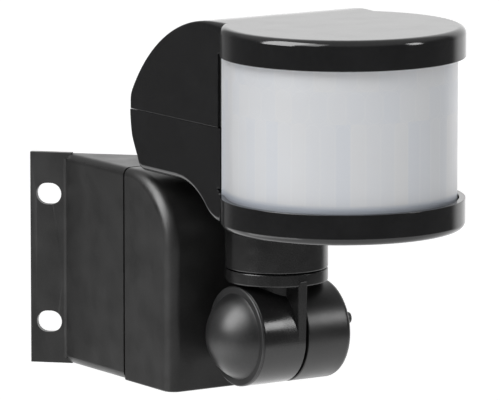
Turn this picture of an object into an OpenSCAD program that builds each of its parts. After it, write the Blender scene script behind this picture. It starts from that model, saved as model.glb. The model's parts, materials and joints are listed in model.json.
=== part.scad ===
/* [Corner bracket] */
// Width of the bracket box and of the base box
box_w = 53.6; // [48:0.2:60]
// Height of the two mounting flanges
flange_h = 65.2; // [62:0.2:65.4]
// Width of one flange, measured along it from the fold
flange_w = 11; // [10.6:0.1:12]
// Thickness of the bracket plate
plate_t = 2; // [1.6:0.1:2.4]
// Length of a flange slot
slot_l = 7.8; // [7:0.2:8.4]
// Width of a flange slot
slot_w = 6.6; // [5:0.2:6.8]
// Distance between the two slots of one flange
slot_pitch = 39.6; // [34:0.2:44]
// Distance from the building corner forward to the seam of bracket and base
seam_reach = 9.3; // [9:0.1:9.6]

/* [Base box] */
// Distance from the building corner forward to the front face of the base
front_reach = 35.5; // [35.2:0.1:36]
// Radius of the rounded top front of the base
brow_r = 22; // [18:0.5:23]
// Wall thickness of the base box
base_wall = 2.2; // [1.8:0.1:2.6]
// Radius of the cable hole through plate, gasket and bracket
cable_hole_r = 6; // [4:0.5:7]

/* [Tilt hinge] */
// Distance from the building corner forward to the hinge axis
hinge_reach = 52.5; // [52.2:0.1:53]
// Distance from the middle of the flanges down to the hinge axis
hinge_drop = 13.9; // [13.7:0.05:14.1]
// Radius of both hinge drums
drum_r = 15; // [14.4:0.05:15.1]
// Radius of the hinge bolt
bolt_r = 3; // [2.5:0.1:3.2]
// Height of the dome on the hinge cap
dome_h = 7.7; // [5:0.1:9]

/* [Neck] */
// Outer radius of the neck and of its collar
neck_r = 15.4; // [15.2:0.1:15.6]
// Radius of the spigot that the head turns on
spigot_r = 12.7; // [12.2:0.1:12.8]
// Radial running clearance of the hinge bolt and the spigot
running_gap = 0.08; // [0.05:0.01:0.1]

/* [Head] */
// Radius of the cap and of the band
cap_r = 36; // [35:0.1:37]
// Radius of the lens
lens_r = 33.6; // [33:0.1:33.8]
// Half the width of the rear shell
shell_hw = 28; // [27:0.1:28.6]
// Distance from the pan axis forward to the axis of the lens
lens_reach = 35; // [34.5:0.1:36]
// Wall thickness of the housings
shell_wall = 2.2; // [1.8:0.1:2.4]
// Thickness of the lens sheet
lens_t = 1.2; // [0.8:0.1:1.4]

/* [Controls] */
// Radius of the three adjusting knobs
knob_r = 5; // [4:0.1:5.4]

/* [Hidden] */

$fn = 96;
e = 0.05;
gap = 0.3;

// Heights in the wall frame: the origin is on the building corner, halfway up the flanges.
box_bottom = -flange_h / 2;
box_step = 0.3;
box_top = flange_h / 2 - box_step;
box_h = box_top - box_bottom;
box_edge_r = 2.5;
box_hw = box_w / 2;
fold_y = box_hw - plate_t * sqrt(2);
slot_from_fold = 5.2;
gasket_t = 0.5;
gasket_inset = 0.7;
base_back = -(seam_reach + gasket_t);
lid_t = 2.5;
lid_gap = 0.2;
lid_front = -(seam_reach + lid_t);
mount_z = 23;
mount_hole_r = 2.2;
mount_screw_r = 2;
mount_screw_l = 8.6;
mount_head_r = 3.8;
mount_nut_r = 4;
lock_x = 15;
lock_y = -(seam_reach + 7.6);
lock_screw_r = 1.5;
lock_post_r = 4;
lock_seat = 2.1;
terminal_z = -14;
terminal_w = 30;
terminal_depth = 11;
terminal_half_h = 5;
terminal_way = 10;
terminal_entry_r = 1.9;
grommet_r = cable_hole_r + 0.7;
grommet_lip = 1.7;
grommet_lip_t = 1.3;

// Heights and depths below are in the hinge frame: the hinge axis is X at the origin.
drum_left = -14.8;
cap_rim_t = 1;
web_left = -2.2;
web_right = 0.8;
base_drum_left = 1.8;
base_drum_right = 17.4;
drum_edge_r = 2;
base_drum_flat = base_drum_right - base_drum_left - drum_edge_r;
arm_top = 11;
recess_r = 12.4;
recess_end = -5.4;
wire_ring_r = 8.6;
wire_hole_r = 2.7;
wire_r = 1.8;
wire_exit_x = 9;
wire_slot = [27, 81];
base_lead_route = [[2.4, 8.6, 0], [5, 8.6, 0], [7.6, 9.4, 0], [9, 12, 0], [9, 16, 0], [9, 21, 0],
                   [9.4, 25, 3], [9.8, 30.4, 8.1], [10, 34.1, 8.7], [10, 34.7, 5.1]];
knuckle_lead_route = [[-0.4, 8.6, 0], [-4, 8.6, 0], [-8.2, 8.2, 1.5], [-9.6, 5.6, 7], [-8.4, 1.6, 8.8],
                      [-5.4, 0.1, 11.6], [-4.6, 0, 16], [-4.2, 0, 20], [-2, 0, 27], [0, 0, 36], [0, 0, 52.4]];
head_lead_route = [[0, 0, 53], [0, 0, 57], [-1, 1, 62], [-6, 3, 65], [-11, 3, 63], [-13, 3, 57]];
wing_angle = 27;
wing_r = 8.3;
wing_w = 3.4;
wing_t = 4.6;
nut_hub_r = 5;
nut_hub_h = 3.4;
dome_base_r = 12.6;
dome_ball_r = (dome_base_r * dome_base_r + dome_h * dome_h) / (2 * dome_h);
dome_t = 1.6;
collar_bottom = 15.8;
collar_top = 19.6;
stub_r = 9;
web_top = 17.8;
web_top_hw = neck_r + 0.2;
neck_top = 49.4;
clip_gap = 0.4;
clip_t = 1.5;
spigot_top = neck_top + clip_gap + clip_t + 1.4;
spigot_bore_r = 9.4;
groove_depth = 1;
bolt_head_right = recess_end - 1.3;
bolt_head_r = 5.2;
bolt_head_h = 3.4;
bolt_end = 20.4;
thrust_t = 0.6;

band_bottom = 36.6;
band_top = 45.6;
lens_cap_z = 87.1;
roof_z = 96;
split_z = 65;
shell_bottom = 46.9;
shell_back = 37.4;
lip = 0.1;
shell_front = -lens_reach + sqrt(cap_r * cap_r - shell_hw * shell_hw);
front_cutback = 1.3;
band_edge_r = 2.2;
roof_edge_r = 2;
roof_r = 52;
roof_centre = [-8, roof_z - roof_r];
back_edge_r = 7;
back_r = 40;
back_centre = [shell_back + lip - back_r, split_z + 1];
heel_r = 4;
heel_z = shell_bottom + heel_r;
heel_centre = [back_centre[0] + sqrt(pow(back_r - heel_r, 2) - pow(back_centre[1] - heel_z, 2)), heel_z];
s_back = 12;
s_front = -12.3;
s_angle = 2 * atan((shell_bottom - band_bottom) / (s_back - s_front));
s_sum_r = (s_back - s_front) / sin(s_angle);
s_upper_r = 0.64 * s_sum_r;
s_lower_r = s_sum_r - s_upper_r;

lens_seat_gap = 0.25;
lens_rib_r = lens_r - lens_t - lens_seat_gap;
lens_rib_t = 1.4;
lens_sink = 2.8;
lens_end = [27.6, -12.6];
board_t = 1.6;
knob_at = [[-14, -50], [0, -53], [14, -50]];
knob_hole_r = knob_r + 0.5;
pot_bottom = 40.8;
pot_h = 4;
pot_bore_r = 1.55;
knob_shaft_r = 1.5;
power_z = 54.6;
power_board_y = [-4, 31];
sensor_z = 66;
sensor_y = -30;
sensor_board_z = 47.5;
sensor_turn = [-70, 0, 70];
sensor_out = 8.5;
sensor_stand = 3.4;
can_r = 4.6;
can_h = 4.4;
rear_screw = [21, 22];
front_screw = [22, -4.5];
housing_screw_at = [[rear_screw, shell_bottom], [front_screw, 40.6]];
housing_screw_top = 62;
screw_r = 1.5;
screw_head_r = 2.9;
screw_hole_r = 1.6;
post_r = 3.4;
post_meet = 51.8;
board_screw_at = [[-20, 6], [20, 6], [0, 28.6]];
board_post_r = 2.8;
board_lead_hole_r = 3;
control_post_at = [[-7, -44.5], [7, -44.5]];
sensor_post_x = 13;
sensor_board_size = [34, board_t, 32];
control_board_size = [38, 15, board_t];
frame_bars = [58, 78];
relay_size = [15.5, 15, 15];
film_size = [9, 8, 14];
smoothing_r = 5;
smoothing_h = 12;
led_r = 1.5;

function arc(c, r, a0, a1, n) =
    [for (i = [0 : n]) [c[0] + r * cos(a0 + (a1 - a0) * i / n), c[1] + r * sin(a0 + (a1 - a0) * i / n)]];

module in_hinge_frame() {
    translate([0, -hinge_reach, -hinge_drop]) children();
}

// Turns a cylinder or a rotate_extrude that stands on Z so that it lies along +X.
module along_x() {
    rotate([0, 90, 0]) children();
}

// Turns a cylinder that stands on Z so that it lies along +Y.
module along_y() {
    rotate([-90, 0, 0]) children();
}

module both_sides() {
    children();
    mirror([1, 0, 0]) children();
}

// A rectangle from (-w/2, z0) to (w/2, z1) with rounded corners.
module rounded_slab(w, z0, z1, r) {
    translate([-w / 2 + r, z0]) square([w - 2 * r, z1 - z0]);
    translate([-w / 2, z0 + r]) square([w, z1 - z0 - 2 * r]);
    for (x = [-w / 2 + r, w / 2 - r], z = [z0 + r, z1 - r]) translate([x, z]) circle(r);
}

// Stands a 2D outline in the XZ plane and gives it depth from y0 to y1.
module upright(y0, y1) {
    translate([0, y1, 0]) rotate([90, 0, 0]) linear_extrude(y1 - y0) children();
}

// Takes an outline in (Y, Z) and gives it width from -hw to hw along X.
module sideways(hw) {
    translate([-hw, 0, 0]) rotate([90, 0, 90]) linear_extrude(2 * hw) children();
}

module tube(r_out, r_in, h) {
    difference() {
        cylinder(r = r_out, h = h);
        translate([0, 0, -e]) cylinder(r = r_in, h = h + 2 * e);
    }
}

module pan_screw(r, length, head_r, head_h) {
    cylinder(r = r, h = length);
    translate([0, 0, -head_h]) cylinder(r = head_r, h = head_h);
}

// A round lead through the points p, smoothed between them.
function spline(p, i, t) =
    let (a = p[max(i - 1, 0)], b = p[i], c = p[i + 1], d = p[min(i + 2, len(p) - 1)])
    0.5 * (2 * b + (c - a) * t + (2 * a - 5 * b + 4 * c - d) * t * t + (3 * b - a - 3 * c + d) * t * t * t);
function path(p, n) =
    concat([for (i = [0 : len(p) - 2], k = [0 : n - 1]) spline(p, i, k / n)], [p[len(p) - 1]]);
function unit(v) = v / norm(v);
function heading(q, i) = unit(q[min(i + 1, len(q) - 1)] - q[max(i - 1, 0)]);
function side_of(h) = unit(cross(h, abs(h[1]) < 0.8 ? [0, 1, 0] : [1, 0, 0]));

module lead(p, r, n = 4, sides = 10) {
    q = path(p, n);
    points = [for (i = [0 : len(q) - 1]) let (h = heading(q, i), s = side_of(h), u = cross(h, s))
              for (k = [0 : sides - 1]) q[i] + r * (cos(360 * k / sides) * s + sin(360 * k / sides) * u)];
    walls = [for (i = [0 : len(q) - 2], k = [0 : sides - 1]) let (m = (k + 1) % sides)
             [i * sides + k, (i + 1) * sides + k, (i + 1) * sides + m, i * sides + m]];
    first = [for (k = [0 : sides - 1]) k];
    last = [for (k = [sides - 1 : -1 : 0]) (len(q) - 1) * sides + k];
    polyhedron(points, concat(walls, [first, last]));
}

// ---- Fixed part: bracket, base and hinge bolt ----

module wall_wedge() {
    translate([0, 0, -flange_h])
        linear_extrude(2 * flange_h) polygon([[0, 0], [2 * box_w, 2 * box_w], [-2 * box_w, 2 * box_w]]);
}

module slot_outline() {
    square([slot_l - slot_w, slot_w], center = true);
    for (x = [-1, 1]) translate([x * (slot_l - slot_w) / 2, 0]) circle(slot_w / 2);
}

module flange() {
    translate([box_hw, fold_y, 0]) rotate([0, 0, 45]) difference() {
        translate([-plate_t, 0, -flange_h / 2]) cube([flange_w + plate_t, plate_t, flange_h]);
        for (z = [-slot_pitch / 2, slot_pitch / 2]) translate([slot_from_fold, 0, z])
            upright(-e, plate_t + e) slot_outline();
    }
}

module corner_bracket() color([0.14, 0.14, 0.14]) {
    difference() {
        upright(-seam_reach, box_hw) rounded_slab(box_w, box_bottom, box_top, box_edge_r);
        upright(-seam_reach + plate_t, box_w)
            rounded_slab(box_w - 2 * plate_t, box_bottom + plate_t, box_top - plate_t, box_edge_r - 1);
        wall_wedge();
        translate([0, -seam_reach - e, 0]) along_y() cylinder(r = cable_hole_r + 0.8, h = plate_t + 2 * e);
        for (z = [-mount_z, mount_z]) translate([0, -seam_reach - e, z])
            along_y() cylinder(r = mount_hole_r, h = plate_t + 2 * e);
    }
    both_sides() flange();
}

// Side outline of the base box in (Y, Z), shrunk by t on all sides but the back.
module base_outline(t) {
    brow_centre = [-front_reach + brow_r, box_top - brow_r];
    difference() {
        translate([-front_reach + t, box_bottom + t])
            square([front_reach + base_back - t + (t > 0 ? 1 : 0), box_h - 2 * t]);
        difference() {
            translate([-front_reach - 1, brow_centre[1]]) square([brow_r + 1, brow_r + 1]);
            translate(brow_centre) circle(brow_r - t);
        }
    }
}

module base_drum() {
    difference() {
        union() {
            translate([base_drum_left, 0, 0]) along_x() rotate_extrude() {
                square([drum_r, base_drum_flat]);
                square([drum_r - drum_edge_r, base_drum_flat + drum_edge_r]);
                translate([drum_r - drum_edge_r, base_drum_flat]) circle(drum_edge_r);
            }
            translate([base_drum_left, 0, -drum_r])
                cube([base_drum_flat, hinge_reach - front_reach + 0.5, drum_r + arm_top]);
        }
        along_x() cylinder(r = bolt_r + running_gap, h = base_drum_right + 1);
        translate([0, wire_ring_r, 0]) along_x() cylinder(r = wire_hole_r, h = wire_exit_x);
        translate([wire_exit_x, wire_ring_r, 0]) sphere(wire_hole_r);
        translate([wire_exit_x, wire_ring_r, 0]) along_y() cylinder(r = wire_hole_r, h = 20);
    }
}

module base_box() color([0.14, 0.14, 0.14]) difference() {
    union() {
        difference() {
            sideways(box_hw) base_outline(0);
            sideways(box_hw - base_wall) base_outline(base_wall);
        }
        in_hinge_frame() base_drum();
        for (x = [-lock_x, lock_x]) translate([x, lock_y, box_bottom + 1]) cylinder(r = lock_post_r, h = 3);
    }
    in_hinge_frame() translate([wire_exit_x, hinge_reach - front_reach - 1, 0])
        along_y() cylinder(r = wire_hole_r, h = 6);
    for (x = [-lock_x, lock_x]) translate([x, lock_y, box_bottom - e]) {
        cylinder(r = screw_head_r + 0.2, h = lock_seat + 2 * e);
        cylinder(r = screw_hole_r, h = 8);
    }
}

module base_plate() color([0.2, 0.2, 0.2]) difference() {
    union() {
        upright(lid_front, -seam_reach) rounded_slab(box_w - 2 * base_wall - 2 * lid_gap,
            box_bottom + base_wall + lid_gap, box_top - base_wall - lid_gap, 1);
        for (x = [-lock_x, lock_x])
            translate([x - lock_post_r, lock_y - lock_post_r, box_bottom + 4.3])
                cube([2 * lock_post_r, lid_front - lock_y + lock_post_r + e, 6]);
    }
    translate([0, lid_front - e, 0]) along_y() cylinder(r = cable_hole_r + 0.8, h = lid_t + 2 * e);
    for (z = [-mount_z, mount_z]) translate([0, lid_front - e, z])
        along_y() cylinder(r = mount_hole_r, h = lid_t + 2 * e);
    for (x = [-lock_x, lock_x]) translate([x, lock_y, box_bottom + 4]) cylinder(r = screw_hole_r, h = 8);
}

module base_gasket() color([0.05, 0.05, 0.05]) upright(base_back, -seam_reach) difference() {
    rounded_slab(box_w - 2 * gasket_inset, box_bottom + gasket_inset, box_top - gasket_inset, 1.8);
    rounded_slab(box_w - 2 * base_wall + 0.2, box_bottom + base_wall, box_top - base_wall, 1);
}

module mounting_screws() color("silver") for (z = [-mount_z, mount_z])
    translate([0, lid_front, z]) along_y() pan_screw(mount_screw_r, mount_screw_l, mount_head_r, 2.4);

module mounting_nuts() color("silver") for (z = [-mount_z, mount_z])
    translate([0, -seam_reach + plate_t, z]) along_y() difference() {
        cylinder(r = mount_nut_r, h = 3.2, $fn = 6);
        translate([0, 0, -e]) cylinder(r = mount_screw_r + 0.05, h = 4);
    }

module locking_screws() color("silver") for (x = [-lock_x, lock_x])
    translate([x, lock_y, box_bottom + lock_seat]) pan_screw(lock_screw_r, 7, screw_head_r, 1.9);

module terminal_block() color([0.92, 0.92, 0.88]) difference() {
    translate([-terminal_w / 2, lid_front - terminal_depth, terminal_z - terminal_half_h])
        cube([terminal_w, terminal_depth, 2 * terminal_half_h]);
    for (x = [-terminal_way, 0, terminal_way]) {
        translate([x, lid_front - terminal_depth - e, terminal_z]) along_y() cylinder(r = 2.2, h = 5);
        translate([x, lid_front - 6, terminal_z - terminal_half_h - e])
            cylinder(r = terminal_entry_r, h = 2 * (terminal_half_h + e));
    }
}

module terminal_screws() color("silver") for (x = [-terminal_way, 0, terminal_way])
    translate([x, lid_front - terminal_depth + 1, terminal_z]) along_y() cylinder(r = 2, h = 2.4);

module cable_grommet() color([0.1, 0.1, 0.1]) translate([0, lid_front - 1.4, 0]) along_y() difference() {
    union() {
        cylinder(r = grommet_r, h = lid_t + plate_t + 2.8);
        cylinder(r = grommet_r + grommet_lip, h = grommet_lip_t);
        translate([0, 0, lid_t + plate_t + 1.5]) cylinder(r = grommet_r + grommet_lip, h = grommet_lip_t);
    }
    translate([0, 0, -e]) cylinder(r = cable_hole_r - 2, h = 12);
}

module hinge_bolt() color("silver") in_hinge_frame() {
    translate([bolt_head_right, 0, 0]) along_x() cylinder(r = bolt_r, h = bolt_end - bolt_head_right);
    translate([bolt_head_right - bolt_head_h, 0, 0]) along_x()
        cylinder(r = bolt_head_r, h = bolt_head_h, $fn = 6);
}

module hinge_washer() color("silver") in_hinge_frame()
    translate([bolt_head_right, 0, 0]) along_x() tube(5.6, bolt_r + 0.1, 1);

module thrust_washer() color([0.9, 0.9, 0.85]) in_hinge_frame()
    translate([base_drum_left - thrust_t, 0, 0]) along_x() tube(5.4, bolt_r + 0.1, thrust_t);

module wing_nut() color([0.12, 0.12, 0.12]) in_hinge_frame()
    translate([base_drum_right, 0, 0]) rotate([-wing_angle, 0, 0]) along_x() difference() {
        union() {
            cylinder(r = nut_hub_r, h = nut_hub_h);
            translate([-wing_w / 2, -wing_r + wing_w / 2, 0]) cube([wing_w, 2 * wing_r - wing_w, wing_t]);
            for (y = [-1, 1]) translate([0, y * (wing_r - wing_w / 2), 0])
                cylinder(r = wing_w / 2, h = wing_t);
        }
        translate([0, 0, -e]) cylinder(r = bolt_r + 0.05, h = 4);
        translate([0, 0, nut_hub_h]) cylinder(r = 4.2, h = 2);
    }

module base_lead() color([0.85, 0.85, 0.85]) in_hinge_frame() lead(base_lead_route, wire_r);

// ---- Part that tilts about the hinge bolt ----

module web_outline() {
    circle(drum_r);
    reach = norm([web_top_hw, web_top]);
    touch = atan2(web_top, web_top_hw) - acos(drum_r / reach);
    polygon([[web_top_hw, web_top], [drum_r * cos(touch), drum_r * sin(touch)],
             [-drum_r * cos(touch), drum_r * sin(touch)], [-web_top_hw, web_top]]);
}

module tilt_knuckle() color([0.13, 0.13, 0.13]) in_hinge_frame() difference() {
    union() {
        translate([drum_left + cap_rim_t, 0, 0]) along_x() cylinder(r = drum_r, h = web_left - drum_left);
        translate([web_left, 0, 0]) rotate([90, 0, 90]) linear_extrude(web_right - web_left) web_outline();
        difference() {
            translate([0, 0, 4]) cylinder(r = stub_r, h = collar_bottom - 4 + e);
            translate([web_right, -20, 0]) cube([20, 40, collar_bottom]);
        }
        translate([0, 0, collar_bottom]) cylinder(r = neck_r, h = collar_top - collar_bottom);
        translate([0, 0, collar_bottom + 1]) cylinder(r = spigot_r, h = spigot_top - collar_bottom - 1);
    }
    translate([drum_left, 0, 0]) along_x() cylinder(r = recess_r, h = recess_end - drum_left);
    translate([recess_end - 1, 0, 0]) along_x() cylinder(r = bolt_r + running_gap, h = 10);
    translate([recess_end - 1, 0, 0]) along_x() rotate([0, 0, wire_slot[0]])
        rotate_extrude(angle = wire_slot[1])
            translate([wire_ring_r - wire_hole_r, 0]) square([2 * wire_hole_r, 10]);
    translate([-4.6, 0, 6]) cylinder(r = 3.2, h = 20);
    translate([0, 0, 21]) cylinder(r = spigot_bore_r, h = spigot_top);
    for (z = [[neck_top + clip_gap, clip_t], [26, 1.4]]) translate([0, 0, z[0]])
        tube(spigot_r + 1, spigot_r - groove_depth, z[1]);
}

module dome_section() {
    intersection() {
        translate([0, dome_h - dome_ball_r]) circle(dome_ball_r);
        square([dome_base_r, dome_h]);
    }
}

module knuckle_cap() color([0.13, 0.13, 0.13]) in_hinge_frame()
    translate([drum_left, 0, 0]) rotate([0, -90, 0]) difference() {
        union() {
            rotate_extrude() dome_section();
            translate([0, 0, -cap_rim_t]) cylinder(r = drum_r, h = cap_rim_t);
            translate([0, 0, -4]) cylinder(r = recess_r - 0.1, h = 4);
        }
        rotate_extrude() intersection() {
            translate([0, dome_h - dome_ball_r]) circle(dome_ball_r - dome_t);
            square([dome_base_r - dome_t, dome_h]);
        }
        translate([0, 0, -5]) cylinder(r = recess_r - dome_t, h = 5 + e);
    }

module neck_seal() color([0.08, 0.08, 0.08]) in_hinge_frame()
    translate([0, 0, 26.7]) rotate_extrude() translate([spigot_r - 0.5, 0]) circle(0.45, $fn = 24);

module retaining_clip() color("silver") in_hinge_frame() translate([0, 0, neck_top + clip_gap]) difference() {
    tube(spigot_r + 1.8, spigot_r - groove_depth + 0.05, clip_t);
    translate([-2, -20, -e]) cube([4, 20, clip_t + 2 * e]);
}

module knuckle_lead() color([0.85, 0.85, 0.85]) in_hinge_frame() lead(knuckle_lead_route, wire_r);

// ---- Head, which turns on the spigot ----

// Side outline of the lower rear shell in (Y, Z), shrunk by t.
module lower_outline(t, front) {
    polygon(concat(
        [[front, split_z + (t > 0 ? 1 : 0)], [back_centre[0] + back_r - t, split_z + (t > 0 ? 1 : 0)]],
        arc(back_centre, back_r - t, asin(-1 / back_r),
            atan2(heel_centre[1] - back_centre[1], heel_centre[0] - back_centre[0]), 6),
        arc(heel_centre, heel_r - t,
            atan2(heel_centre[1] - back_centre[1], heel_centre[0] - back_centre[0]), -90, 6),
        arc([s_back, shell_bottom - s_upper_r], s_upper_r + t, 90, 90 + s_angle, 10),
        arc([s_front, band_bottom + s_lower_r], s_lower_r - t, -90 + s_angle, -90, 8),
        [[front, band_bottom + t]]));
}

// Side outline of the upper rear shell in (Y, Z), shrunk by t.
module upper_outline(t, front) {
    edge_y = shell_back - back_edge_r;
    edge = [edge_y, roof_centre[1] + sqrt(pow(roof_r - back_edge_r, 2) - pow(edge_y - roof_centre[0], 2))];
    turn = atan2(edge[1] - roof_centre[1], edge[0] - roof_centre[0]);
    polygon(concat(
        [[front, split_z - (t > 0 ? 1 : 0)], [shell_back - t, split_z - (t > 0 ? 1 : 0)]],
        arc(edge, back_edge_r - t, 0, turn, 5),
        arc(roof_centre, roof_r - t, turn, 90, 16),
        [[front, roof_z - t]]));
}

module on_lens_axis() {
    translate([0, -lens_reach, 0]) children();
}

// A disc of the cap's radius from z0 to z1 with one edge rounded, the lower or the upper one.
// It is cut off behind y = back, where the rear shell takes over.
module cap_disc(z0, z1, edge_r, lower, back) {
    difference() {
        on_lens_axis() translate([0, 0, lower ? z0 : z1]) mirror([0, 0, lower ? 0 : 1]) rotate_extrude() {
            translate([0, edge_r]) square([cap_r, z1 - z0 - edge_r]);
            square([cap_r - edge_r, z1 - z0]);
            translate([cap_r - edge_r, edge_r]) circle(edge_r);
        }
        translate([-cap_r, back, z0 - 1]) cube([2 * cap_r, cap_r, z1 - z0 + 2]);
    }
}

module at_screws() {
    for (p = [rear_screw, front_screw]) both_sides() translate([p[0], p[1], 0]) children();
}

module lower_shell_outer() {
    cap_disc(band_bottom, band_top, band_edge_r, true, shell_front + e);
    sideways(shell_hw) lower_outline(0, shell_front);
}

module lower_shell_inner() {
    on_lens_axis() translate([0, 0, band_bottom + shell_wall]) cylinder(r = lens_r + lens_seat_gap, h = 20);
    sideways(shell_hw - shell_wall) lower_outline(shell_wall, shell_front - 8);
}

module lower_housing() color([0.06, 0.06, 0.065]) in_hinge_frame() difference() {
    union() {
        difference() {
            lower_shell_outer();
            lower_shell_inner();
        }
        translate([0, 0, collar_top + gap]) cylinder(r = neck_r, h = neck_top - collar_top - gap);
        on_lens_axis() translate([0, 0, band_bottom + 1]) difference() {
            tube(lens_rib_r, lens_rib_r - lens_rib_t, 5.4);
            translate([-cap_r, 20, -1]) cube([2 * cap_r, cap_r, 20]);
        }
        intersection() {
            at_screws() translate([0, 0, band_bottom])
                cylinder(r = post_r + 0.6, h = post_meet - band_bottom);
            sideways(shell_hw - 1) lower_outline(0, shell_front - 8);
        }
        intersection() {
            for (p = board_screw_at) translate([p[0], p[1], band_bottom])
                cylinder(r = board_post_r, h = power_z - band_bottom);
            sideways(shell_hw - 1) lower_outline(0, shell_front);
        }
        for (p = control_post_at) translate([p[0], p[1], band_bottom + 1])
            cylinder(r = 1.8, h = pot_bottom + pot_h - band_bottom - 1);
        for (x = [-sensor_post_x, sensor_post_x]) translate([x - 2, sensor_y - 2, band_bottom + 1])
            cube([4, board_t + 4, 14]);
    }
    translate([0, 0, collar_top - 1]) cylinder(r = spigot_r + running_gap, h = spigot_top);
    at_screws() translate([0, 0, band_bottom - 4]) cylinder(r = screw_hole_r, h = 30);
    for (p = housing_screw_at) both_sides() translate([p[0][0], p[0][1], p[1] - 4])
        cylinder(r = screw_head_r + 0.2, h = 6.2);
    for (p = knob_at) translate([p[0], p[1], band_bottom - 1]) cylinder(r = knob_hole_r, h = 4);
    for (p = board_screw_at) translate([p[0], p[1], power_z - 5]) cylinder(r = 1.25, h = 6);
    translate([-18, sensor_y - 0.05, sensor_board_z]) cube([36, board_t + 0.1, 10]);
}

module upper_housing() color([0.06, 0.06, 0.065]) in_hinge_frame() {
    difference() {
        union() {
            cap_disc(lens_cap_z, roof_z, roof_edge_r, false, shell_front + 1);
            sideways(shell_hw) upper_outline(0, shell_front);
        }
        on_lens_axis() translate([0, 0, lens_cap_z - 20])
            cylinder(r = lens_r + lens_seat_gap, h = 20 + roof_z - lens_cap_z - shell_wall);
        sideways(shell_hw - shell_wall) upper_outline(shell_wall, shell_front - 8);
        both_sides() translate([shell_hw - shell_wall - 1, shell_front - 1, split_z - 1])
            cube([shell_wall + 2, 1 + front_cutback, 1 + lens_cap_z - split_z]);
    }
    on_lens_axis() translate([0, 0, lens_cap_z + 1.2]) difference() {
        tube(lens_rib_r, lens_rib_r - lens_rib_t, roof_z - lens_cap_z - 2.4);
        translate([-cap_r, 20, -1]) cube([2 * cap_r, cap_r, 20]);
    }
    difference() {
        intersection() {
            at_screws() translate([0, 0, post_meet + gap]) cylinder(r = post_r, h = roof_z - post_meet - 2);
            sideways(shell_hw) upper_posts_outline();
        }
        at_screws() translate([0, 0, post_meet]) cylinder(r = screw_hole_r, h = 14);
    }
}

// Room for the posts of the upper housing: below its roof and above the posts of the lower one.
module upper_posts_outline() {
    translate([shell_front, post_meet]) square([shell_back - shell_front - 5, split_z - post_meet]);
    upper_outline(1, shell_front - 8);
}

// Outline of the lens, shrunk by t: an arc with straight ends that run back to the rear shell.
module lens_outline(t) {
    far = lens_end - [t, 0] + [0, lens_reach];
    touch = atan2(far[1], far[0]) - acos((lens_r - t) / norm(far));
    tangent = (lens_r - t) * [cos(touch), sin(touch)];
    circle(lens_r - t);
    polygon([far, tangent, [-tangent[0], tangent[1]], [-far[0], far[1]]]);
}

module lens() color([0.95, 0.96, 0.98]) in_hinge_frame() on_lens_axis() difference() {
    union() {
        translate([0, 0, band_top + 0.05]) linear_extrude(lens_cap_z - band_top - 0.1) lens_outline(0);
        translate([0, 0, band_top - lens_sink])
            cylinder(r = lens_r, h = lens_cap_z - band_top + 2 * lens_sink);
    }
    translate([0, 0, band_top - lens_sink - 1]) linear_extrude(60) lens_outline(lens_t);
    translate([-60, lens_end[1] + lens_reach, 0]) cube([120, 60, 120]);
}

module lens_frame() color([0.1, 0.1, 0.1]) in_hinge_frame() {
    both_sides() {
        translate([shell_hw - shell_wall - 2.4, shell_front + 0.1, band_top - 4])
            cube([2.2, 2.6, lens_cap_z - band_top + 8]);
        translate([shell_hw - shell_wall - 0.3, shell_front + 0.1, split_z + 0.2])
            cube([1.7, front_cutback - 0.2, lens_cap_z - split_z - 0.4]);
    }
    for (z = frame_bars) translate([-shell_hw + shell_wall + 1, shell_front + 0.8, z])
        cube([2 * (shell_hw - shell_wall - 1), 1.8, 3]);
}

module sensor_board() color([0.05, 0.35, 0.15]) in_hinge_frame()
    translate([-sensor_board_size[0] / 2, sensor_y, sensor_board_z]) cube(sensor_board_size);

module at_sensor(turn) {
    translate([0, sensor_y - sensor_stand, sensor_z]) rotate([0, 0, turn])
        translate([0, -sensor_out, 0]) children();
}

// A block with one facet behind each sensor.
module sensor_carrier() color([0.12, 0.12, 0.12]) in_hinge_frame() {
    front_x = sensor_out * tan(sensor_turn[2] / 2);
    back_x = (sensor_out + sensor_stand * cos(sensor_turn[2])) / sin(sensor_turn[2]);
    translate([0, sensor_y - sensor_stand, sensor_z - 7]) linear_extrude(14)
        polygon([[-back_x, sensor_stand], [-front_x, -sensor_out],
                 [front_x, -sensor_out], [back_x, sensor_stand]]);
}

module pir_sensor(turn) color([0.8, 0.8, 0.82]) in_hinge_frame() at_sensor(turn) {
    rotate([90, 0, 0]) difference() {
        union() {
            cylinder(r = can_r, h = can_h);
            cylinder(r = can_r + 0.5, h = 0.6);
        }
        translate([-2, -1.5, can_h - 0.4]) cube([4, 3, 1]);
    }
}

module status_led() color([0.8, 0.1, 0.1]) in_hinge_frame()
    translate([11, sensor_y, 54]) rotate([90, 0, 0]) {
        cylinder(r = led_r, h = 2 * led_r);
        translate([0, 0, 2 * led_r]) sphere(led_r);
    }

module control_board() color([0.05, 0.35, 0.15]) in_hinge_frame()
    translate([-control_board_size[0] / 2, -57.5, pot_bottom + pot_h]) cube(control_board_size);

module trim_pots() color([0.1, 0.25, 0.6]) in_hinge_frame() for (p = knob_at)
    translate([p[0], p[1], pot_bottom]) difference() {
        translate([-4.5, -4.5, 0]) cube([9, 9, pot_h]);
        translate([0, 0, -e]) cylinder(r = pot_bore_r, h = pot_h - 0.5);
    }

module power_board() color([0.05, 0.35, 0.15]) in_hinge_frame() difference() {
    translate([-24, power_board_y[0], power_z]) cube([48, power_board_y[1] - power_board_y[0], board_t]);
    for (p = board_screw_at) translate([p[0], p[1], power_z - e]) cylinder(r = 1.6, h = board_t + 2 * e);
    at_screws() translate([0, 0, power_z - e]) cylinder(r = post_r + 0.5, h = board_t + 2 * e);
    translate([0, 0, power_z - e]) cylinder(r = board_lead_hole_r, h = board_t + 2 * e);
}

module relay() color([0.1, 0.3, 0.7]) in_hinge_frame()
    translate([-15, 10, power_z + board_t]) cube(relay_size);

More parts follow.
